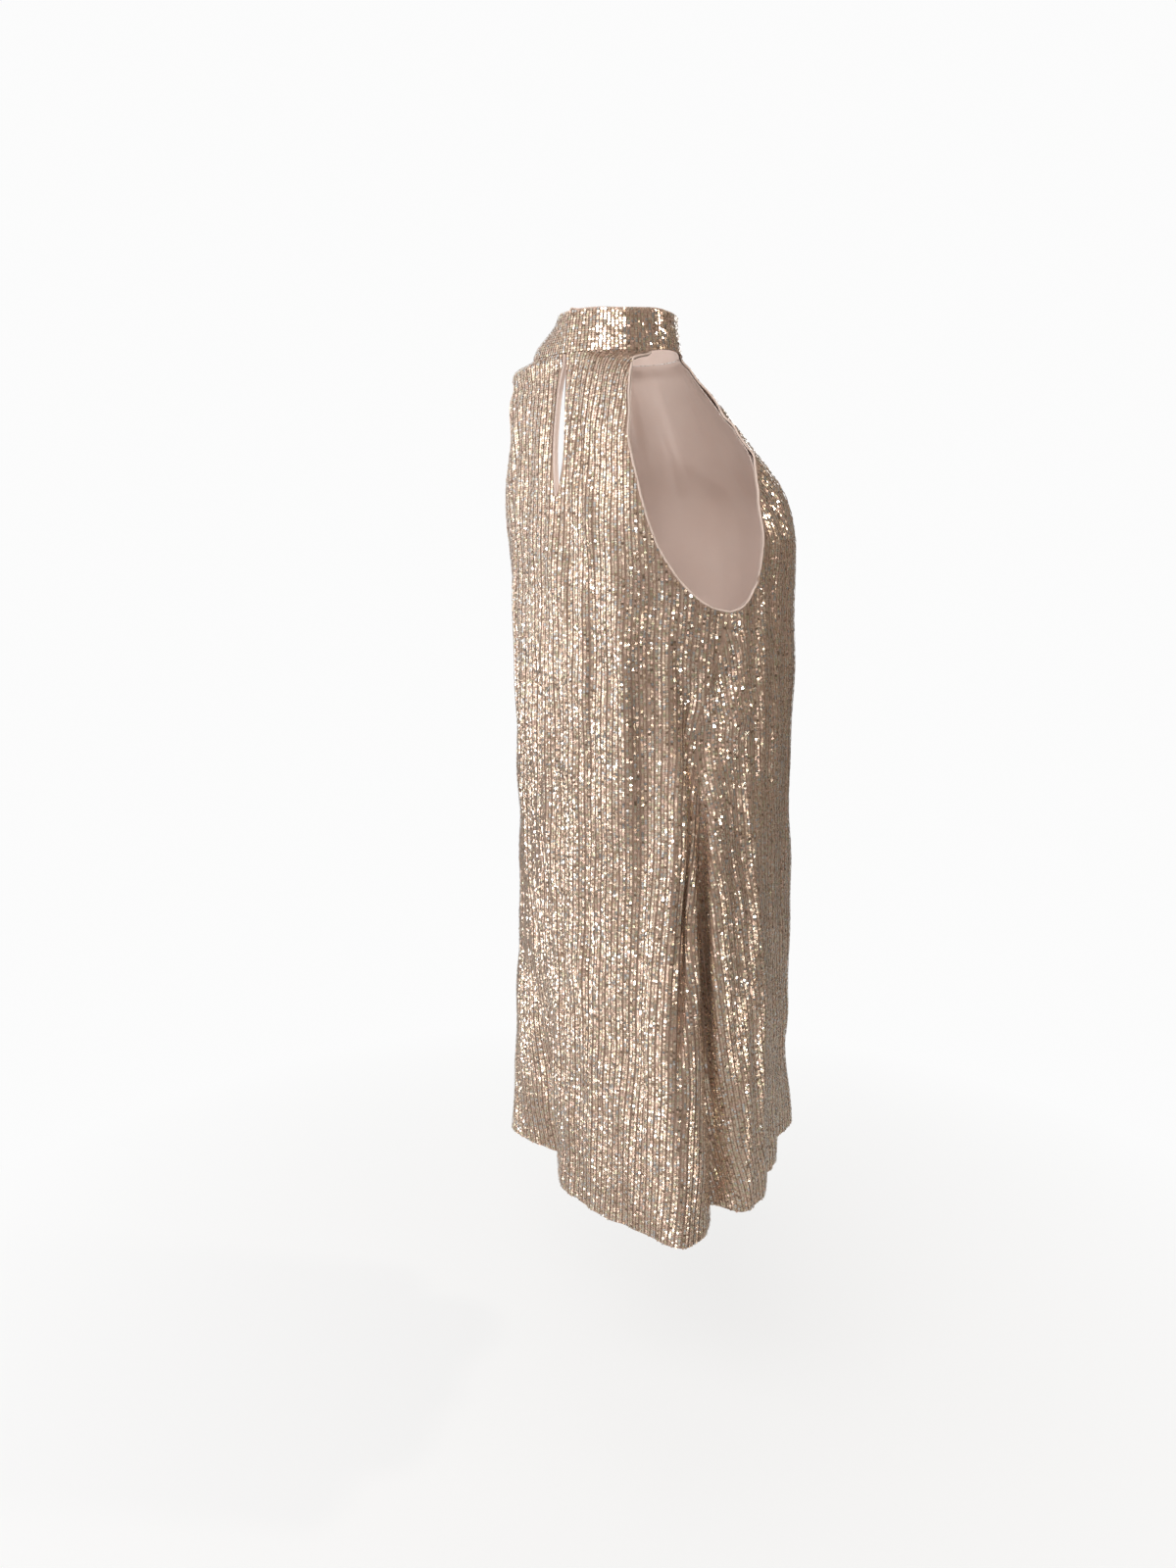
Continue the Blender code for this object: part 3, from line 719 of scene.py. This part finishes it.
def sequin_places(surface, heights, limits, start_at, middle, sign, random):
    """Centres, normals and downward directions of the sequins on one half of a piece.

    The rows lie one pitch apart across the cloth, counted from its middle, and each runs
    down the cloth until an edge or a seam cuts it off.
    """
    share = np.linspace(0, 1, SEQUIN_LINE_SAMPLES)[None, :]
    angle = middle + sign * (start_at[:, None] + (limits - start_at)[:, None] * share)
    grid = surface(angle, np.broadcast_to(heights[:, None], angle.shape))
    across = np.linalg.norm(np.diff(grid, axis=1), axis=2)
    across = np.concatenate([np.zeros((len(heights), 1)), np.cumsum(across, axis=1)], axis=1)
    begin = np.abs(start_at) * np.linalg.norm(grid[:, 1] - grid[:, 0], axis=1) / np.maximum(
        np.abs(limits - start_at) / (SEQUIN_LINE_SAMPLES - 1), 1e-6)
    across = across + begin[:, None]
    if middle == 180.0:
        across = across + row_lean(across, heights)
    columns = int(across.max() / ROW_PITCH)
    chosen_angle, chosen_height = [], []
    for column in range(columns + 1):
        place = (column + 0.5) * ROW_PITCH + PAIR_SHIFT * (1 - 2 * (column % 2))
        inside = (across[:, 0] + 0.4 * ROW_PITCH < place) & (place < across[:, -1] - 0.15 * ROW_PITCH)
        if inside.sum() < 3:
            continue
        at = np.array([np.interp(place, across[k], angle[k] * sign) * sign for k in range(len(heights))])
        for run in np.split(np.arange(len(heights)), np.where(np.diff(inside.astype(int)) != 0)[0] + 1):
            if not inside[run[0]] or len(run) < 3:
                continue
            line = surface(at[run], heights[run])
            length = length_along(line)
            first = random.uniform(0.2, 0.8) * SEQUIN_PITCH
            stops = np.arange(first, length[-1] - 0.3 * SEQUIN_PITCH, SEQUIN_PITCH)
            stops = stops + random.normal(0, DOWN_JITTER, len(stops))
            chosen_height.append(np.interp(stops, length, heights[run]))
            chosen_angle.append(np.interp(stops, length, at[run]))
    return np.concatenate(chosen_angle), np.concatenate(chosen_height)


def sew_sequins(name, surface, places, materials, random):
    """Put a disc at each place, just proud of the cloth."""
    angle, height = places
    centres = surface(angle, height)
    normals = normals_of(surface, angle, height)
    along = surface(angle, height - 0.0005) - centres
    along -= normals * np.sum(along * normals, axis=1, keepdims=True)
    along /= np.linalg.norm(along, axis=1, keepdims=True)
    centres = centres + normals * (SEQUIN_HEIGHT + random.uniform(0, SEQUIN_LIFT, len(angle)))[:, None]
    centres = centres + np.cross(along, normals) * random.normal(0, SIDE_JITTER, len(angle))[:, None]
    return discs(name, centres, normals, along, materials, random)


# ---------------------------------------------------------------- the pieces

def root_piece(obj, slot, *nodes):
    """Ride a piece on the dress's one body, and say which nodes it replaces."""
    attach(obj, "root")
    if nodes:
        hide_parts(*nodes)
    return obj


def build_panels(mesh_material, foils, random):
    """Back and front: the mesh cloth, and its sequins in a right and a left half."""
    heights = row_heights(*PANEL_ROWS, HEM)
    fine = row_heights(*SEQUIN_LINE_ROWS, HEM)
    made = {}
    for name, back in (("back", True), ("front", False)):
        angles = panel_angles(heights, back, PANEL_COLUMNS)
        level = np.broadcast_to(heights[:, None], angles.shape)
        surface = cloth(angles, level)
        normal = normals_of(cloth, angles, level)
        slit = (PANEL_COLUMNS, int(np.argmax(heights <= SLIT_BOTTOM))) if back else None
        sheet = thin_sheet(f"{name}_cloth", surface - MESH_DEPTH * normal,
                           surface - (MESH_DEPTH + MESH_THICKNESS) * normal, mesh_material, slit,
                           None if back else heights)
        root_piece(sheet, "sequin_cloth", f"{name}_panel")
        pieces = []
        for side, sign in (("right", 1), ("left", -1)):
            middle = 0.0 if back else 180.0
            start = slit_start(fine) if back else np.zeros_like(fine)
            along = sign if back else -sign
            limits = half_angles(fine, sign, back)
            places = sequin_places(cloth, fine, limits, start, middle, along, random)
            sequins = sew_sequins(f"{name}_sequins_{side}", cloth, places, foils, random)
            pieces.append(root_piece(sequins, "sequin_cloth"))
        made[name] = (sheet, surface, pieces)
    return made


def collar_height(angle, share, rise):
    """Heights on the collar: share 0 is its lower edge, a little higher over the shoulders."""
    over_right = 1 - np.clip(np.abs(turn(angle, 110)) / 32, 0, 1)**2
    over_left = 1 - np.clip(np.abs(turn(angle, -110)) / 32, 0, 1)**2
    corner = 0.0026 * np.exp(-((angle % 360) / 7.0)**2)
    corner = corner + 0.0006 * np.sin(np.radians(angle) * 5)
    low = SEAM_GAP + COLLAR_LIFT * (over_right + over_left)
    return low + (COLLAR_HEIGHT + rise + corner - low) * share


def collar_surface(angle, height):
    """The collar's outside, softly uneven."""
    wave = 0.0006 * np.sin(np.radians(angle) * 7 + height * 60) + 0.0004 * np.sin(np.radians(angle) * 13)
    away = np.radians(angle)
    out = np.stack([-np.sin(away), np.cos(away), np.zeros_like(away)], axis=-1)
    return form(angle, height) + (wave * np.clip(height / 0.02, 0, 1))[..., None] * out


def build_collar(mesh_material, satin_material, foils, random):
    """The stand collar, its sequins and the satin facing inside it."""
    angles = np.linspace(COLLAR_END_ANGLE, 360 - COLLAR_END_ANGLE, COLLAR_COLUMNS)
    share = np.linspace(1, 0, COLLAR_ROWS)[:, None]
    sheets = []
    layers = (
        ("collar_cloth", "collar_band", "sequin_cloth", mesh_material,
         MESH_DEPTH, MESH_THICKNESS, 0.0),
        ("collar_satin", "collar_facing", "satin", satin_material,
         FACING_DEPTH, SATIN_THICKNESS, FACING_RISE))
    for name, node, slot, material, depth, thickness, rise in layers:
        level = collar_height(angles, share, rise)
        across = np.broadcast_to(angles, level.shape)
        surface = collar_surface(across, level)
        normal = normals_of(collar_surface, across, level)
        roll = 0.0016 * np.clip(share - 0.93, 0, 1)[..., None] / 0.07 if slot == "satin" else 0.0
        outer = surface - (depth - roll) * normal
        sheet = thin_sheet(name, outer, outer - thickness * normal, material)
        sheets.append((root_piece(sheet, slot, node), surface))
    places_angle, places_height = [], []
    ring = np.linspace(COLLAR_END_ANGLE, 360 - COLLAR_END_ANGLE, 1500)
    length = length_along(form(ring, 0.02))
    for stop in np.arange(0.5 * ROW_PITCH, length[-1], ROW_PITCH):
        at = np.interp(stop, length, ring)
        low = float(collar_height(np.array(at), 0.0, 0.0))
        top = float(collar_height(np.array(at), 1.0, 0.0))
        rows = np.arange(low + 0.0012, top - 0.0008, SEQUIN_PITCH * 0.97)
        places_height.append(rows + random.normal(0, 0.00015, len(rows)))
        places_angle.append(np.full(len(rows), at) + random.normal(0, 0.08, len(rows)))
    places = (np.concatenate(places_angle), np.concatenate(places_height))
    sequins = sew_sequins("collar_sequins", collar_surface, places, foils, random)
    return sheets, root_piece(sequins, "sequin_cloth")


def build_lining(material):
    """The satin lining, which shows inside the armholes and above the hem."""
    heights = row_heights(*LINING_ROWS, LINING_HEM)
    made = []
    for name, back in (("lining_back", True), ("lining_front", False)):
        angles = panel_angles(heights, back, LINING_COLUMNS)
        level = np.broadcast_to(heights[:, None], angles.shape)
        outer = lining_form(angles, level)
        normal = normals_of(lining_form, angles, level)
        slit = (LINING_COLUMNS, int(np.argmax(heights <= SLIT_BOTTOM))) if back else None
        sheet = thin_sheet(f"satin_{name}", outer, outer - SATIN_THICKNESS * normal, material, slit)
        made.append((root_piece(sheet, "satin", name), outer))
    return made


def armhole_path(side):
    """The line along one armhole edge, from the collar down, under the arm and up."""
    heights = row_heights(64, 1, HEM)
    heights = heights[heights >= UNDERARM]
    heights[0] = -0.0008
    back = side * smooth_table(heights, BACK_EDGE)[:, 0]
    front = side * (180 - smooth_table(heights, FRONT_EDGE)[:, 0])
    angles = np.concatenate([back, front[-2::-1]])
    level = np.concatenate([heights, heights[-2::-1]])
    edge = cloth(angles, level) - EDGE_DEPTH * normals_of(cloth, angles, level)
    length = length_along(edge)
    even = np.linspace(0, length[-1], 240)
    return np.stack([np.interp(even, length, edge[:, k]) for k in range(3)], axis=1)


def build_edges(material):
    """The rolled satin edges of the armholes."""
    made = []
    for name, side in (("right", 1), ("left", -1)):
        tube = round_tube(f"armhole_edge_{name}", armhole_path(side), EDGE_RADIUS, EDGE_SIDES, material)
        made.append(root_piece(tube, "binding", f"armhole_binding_{name}"))
    return made


def build_keyhole_edge(material):
    """Satin turned in along both edges of the slit and round its lower end."""
    heights = np.linspace(-0.0006, SLIT_BOTTOM, 60)
    start = slit_start(heights) * np.clip((heights - SLIT_BOTTOM) / 0.004, 0, 1)**0.5
    level = np.concatenate([heights, heights[-2::-1]])
    angle = np.concatenate([-start, start[-2::-1]])
    edge = cloth(angle, level) - KEYHOLE_EDGE_DEPTH * normals_of(cloth, angle, level)
    depth = np.linspace(0, 1, 7)[None, :, None]
    inward = np.array([0.0, -1.0, 0.0])
    toward = -np.sign(edge[:, :1]) * np.array([[1.0, 0.0, 0.0]]) * 0.0006
    roll = np.sin(math.pi * np.clip(depth * 2.2, 0, 1)) * toward[:, None]
    outer = edge[:, None] + depth * KEYHOLE_EDGE_WIDTH * inward + roll
    inner = outer + toward[:, None] * 0.8
    outer = outer + np.array([0.0, 0.0004, 0.0])
    sheet = thin_sheet("keyhole_edge", outer, inner, material)
    return root_piece(sheet, "satin", "keyhole_facing")


# ---------------------------------------------------------------- studio

def build_floor():
    """A plain pale floor, which fades into the backdrop away from the dress."""
    half = FLOOR_HALF_WIDTH
    corners = [(x, y, FLOOR_HEIGHT) for x, y in ((-half, -half), (half, -half), (half, half), (-half, half))]
    floor = new_mesh("floor", np.array(corners, float), [[0, 1, 2, 3]], smooth=False)
    made, tree, shader = blank("studio_floor")
    places = add(tree, "ShaderNodeTexCoord").outputs["Object"]
    cloud = add(tree, "ShaderNodeTexNoise", _0=places, Scale=1.5, Detail=2.0).outputs[0]
    colour = mix_colour(tree, cloud, *FLOOR_TONES)
    tree.links.new(colour, shader.inputs["Base Color"])
    shader.inputs["Roughness"].default_value = 0.9
    distance = add(tree, "ShaderNodeVectorMath", {"operation": "LENGTH"}, _0=places).outputs["Value"]
    far = add(tree, "ShaderNodeMapRange", _0=distance, _1=0.3, _2=2.0).outputs[0]
    glow = add(tree, "ShaderNodeEmission", Color=(1.0, 1.0, 1.0, 1.0), Strength=BACKDROP)
    both = add(tree, "ShaderNodeMixShader", _0=far)
    tree.links.new(shader.outputs[0], both.inputs[1])
    tree.links.new(glow.outputs[0], both.inputs[2])
    grey = add(tree, "ShaderNodeBsdfDiffuse", Color=FLOOR_BOUNCE)
    seen = add(tree, "ShaderNodeLightPath").outputs["Is Camera Ray"]
    shown = add(tree, "ShaderNodeMixShader", _0=seen)
    tree.links.new(grey.outputs[0], shown.inputs[1])
    tree.links.new(both.outputs[0], shown.inputs[2])
    tree.links.new(shown.outputs[0], tree.nodes["Material Output"].inputs["Surface"])
    floor.data.materials.append(made)
    floor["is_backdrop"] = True


# name, place, aim, width, height, power, colour
LIGHTS = (
    ("key", (1.7, 2.6, 0.8), (0.0, 0.0, -0.45), 1.5, 1.5, 13.0, (1.0, 0.985, 0.96)),
    ("over_camera", (-1.25, 2.15, 1.95), (0.0, 0.0, -0.1), 2.6, 0.9, 60.0, (1.0, 1.0, 1.0)),
    ("strip_left", (2.3, 1.2, -0.75), (0.0, 0.0, -0.75), 0.10, 1.3, 6.0, (1.0, 1.0, 1.0)),
    ("strip_behind", (1.2, 2.4, -0.80), (0.0, 0.0, -0.80), 0.10, 1.3, 6.0, (1.0, 1.0, 1.0)),
    ("strip_camera", (-0.5, 2.7, -0.80), (0.0, 0.0, -0.80), 0.06, 1.3, 4.0, (1.0, 1.0, 1.0)),
    ("strip_right", (-2.4, -0.6, -0.80), (0.0, 0.0, -0.80), 0.03, 1.3, 4.0, (1.0, 0.97, 0.92)),
    ("low_behind", (-0.3, 1.8, -1.30), (0.0, 0.0, -0.8), 1.6, 0.07, 2.6, (1.0, 1.0, 1.0)),
    ("low_left", (1.5, 1.2, -1.30), (0.0, 0.0, -0.8), 1.2, 0.07, 2.6, (1.0, 1.0, 1.0)),
    ("low_right", (-1.9, -0.7, -1.30), (0.0, 0.0, -0.8), 1.0, 0.04, 1.6, (1.0, 0.97, 0.92)),
    ("spot_right", (-1.6, -1.6, 0.9), (0.0, 0.0, -0.6), 0.16, 0.16, 18.0, (1.0, 0.95, 0.86)),
    ("spot_behind", (-2.6, 1.9, 0.2), (0.0, 0.0, -0.6), 0.14, 0.14, 7.0, (1.0, 0.96, 0.92)),
    ("top", (-0.2, 0.5, 2.4), (0.0, 0.0, -0.4), 1.2, 1.2, 8.0, (1.0, 1.0, 1.0)),
    ("front", (1.7, -2.3, 0.9), (0.0, 0.0, -0.5), 1.2, 1.2, 13.0, (1.0, 0.98, 0.95)))

# the bright sides of the studio: towards, tightness, strength
WINDOWS = (((0.80, 0.60, 0.00), 3.0, 0.84), ((0.80, -0.60, 0.30), 6.0, 0.16))
DIM_SIDE = (0.100, 0.083, 0.063)
BRIGHT_SIDE = (1.0, 1.0, 0.99)


def aim(obj, place, target):
    """Put an object at a place and turn it to look at its target."""
    obj.location = place
    obj.rotation_euler = (Vector(target) - Vector(place)).to_track_quat("-Z", "Y").to_euler()


def build_studio():
    """Soft pale studio: bright sides, softboxes, and strips and small lamps for sparkle."""
    for name, place, target, width, tall, power, colour in LIGHTS:
        lamp = bpy.data.lights.new(name, "AREA")
        lamp.shape = "RECTANGLE"
        lamp.size = width
        lamp.size_y = tall
        lamp.energy = power
        lamp.color = colour
        holder = bpy.data.objects.new(name, lamp)
        bpy.context.scene.collection.objects.link(holder)
        holder.visible_camera = False
        aim(holder, place, target)
    world = bpy.data.worlds.new("studio")
    world.use_nodes = True
    tree = world.node_tree
    direction = add(tree, "ShaderNodeTexCoord").outputs["Generated"]
    total = 0.0
    for towards, tightness, strength in WINDOWS:
        toward = Vector(towards).normalized()
        dot = add(tree, "ShaderNodeVectorMath", {"operation": "DOT_PRODUCT"}, _0=direction, _1=toward)
        half = math_node(tree, "MULTIPLY_ADD", dot.outputs["Value"], 0.5, 0.5)
        lobe = math_node(tree, "POWER", half, tightness)
        total = math_node(tree, "MULTIPLY_ADD", lobe, strength, total)
    glow = mix_colour(tree, total, DIM_SIDE, BRIGHT_SIDE)
    seen = add(tree, "ShaderNodeLightPath").outputs["Is Camera Ray"]
    colour = mix_colour(tree, seen, glow, (BACKDROP, BACKDROP, BACKDROP))
    tree.links.new(colour, tree.nodes["Background"].inputs["Color"])
    bpy.context.scene.world = world
    bpy.context.scene.view_settings.view_transform = "Standard"


def build_camera():
    """The photograph's viewing angle."""
    lens = bpy.data.cameras.new("camera")
    lens.lens = CAMERA_LENS
    lens.sensor_width = SENSOR
    lens.clip_start = 0.02
    holder = bpy.data.objects.new("camera", lens)
    bpy.context.scene.collection.objects.link(holder)
    aim(holder, CAMERA_PLACE, CAMERA_TARGET)
    bpy.context.scene.camera = holder


def as_lists(box):
    """A box as plain lists of numbers."""
    return [[float(x) for x in corner] for corner in box]


def main():
    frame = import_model()
    cad_box = as_lists(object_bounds())
    random = np.random.default_rng(SEED)
    build_camera()
    mesh_material = mesh_cloth()
    foils = sequin_materials()
    lining_satin = satin("lining_satin", LINING_TONES, LINING_WEAVE)
    edge_satin = satin("edge_satin", EDGE_TONES, EDGE_WEAVE)
    panels = build_panels(mesh_material, foils, random)
    collar = build_collar(mesh_material, lining_satin, foils, random)
    lining = build_lining(lining_satin)
    edges = build_edges(edge_satin)
    keyhole = build_keyhole_edge(lining_satin)
    wire = wire_metal()
    for node, obj in frame["nodes"].items():
        if node.startswith(("collar_hook", "collar_eye")):
            obj.data.materials.clear()
            obj.data.materials.append(wire)
    build_floor()
    build_studio()
    return cad_box


CAD_BOX = main()
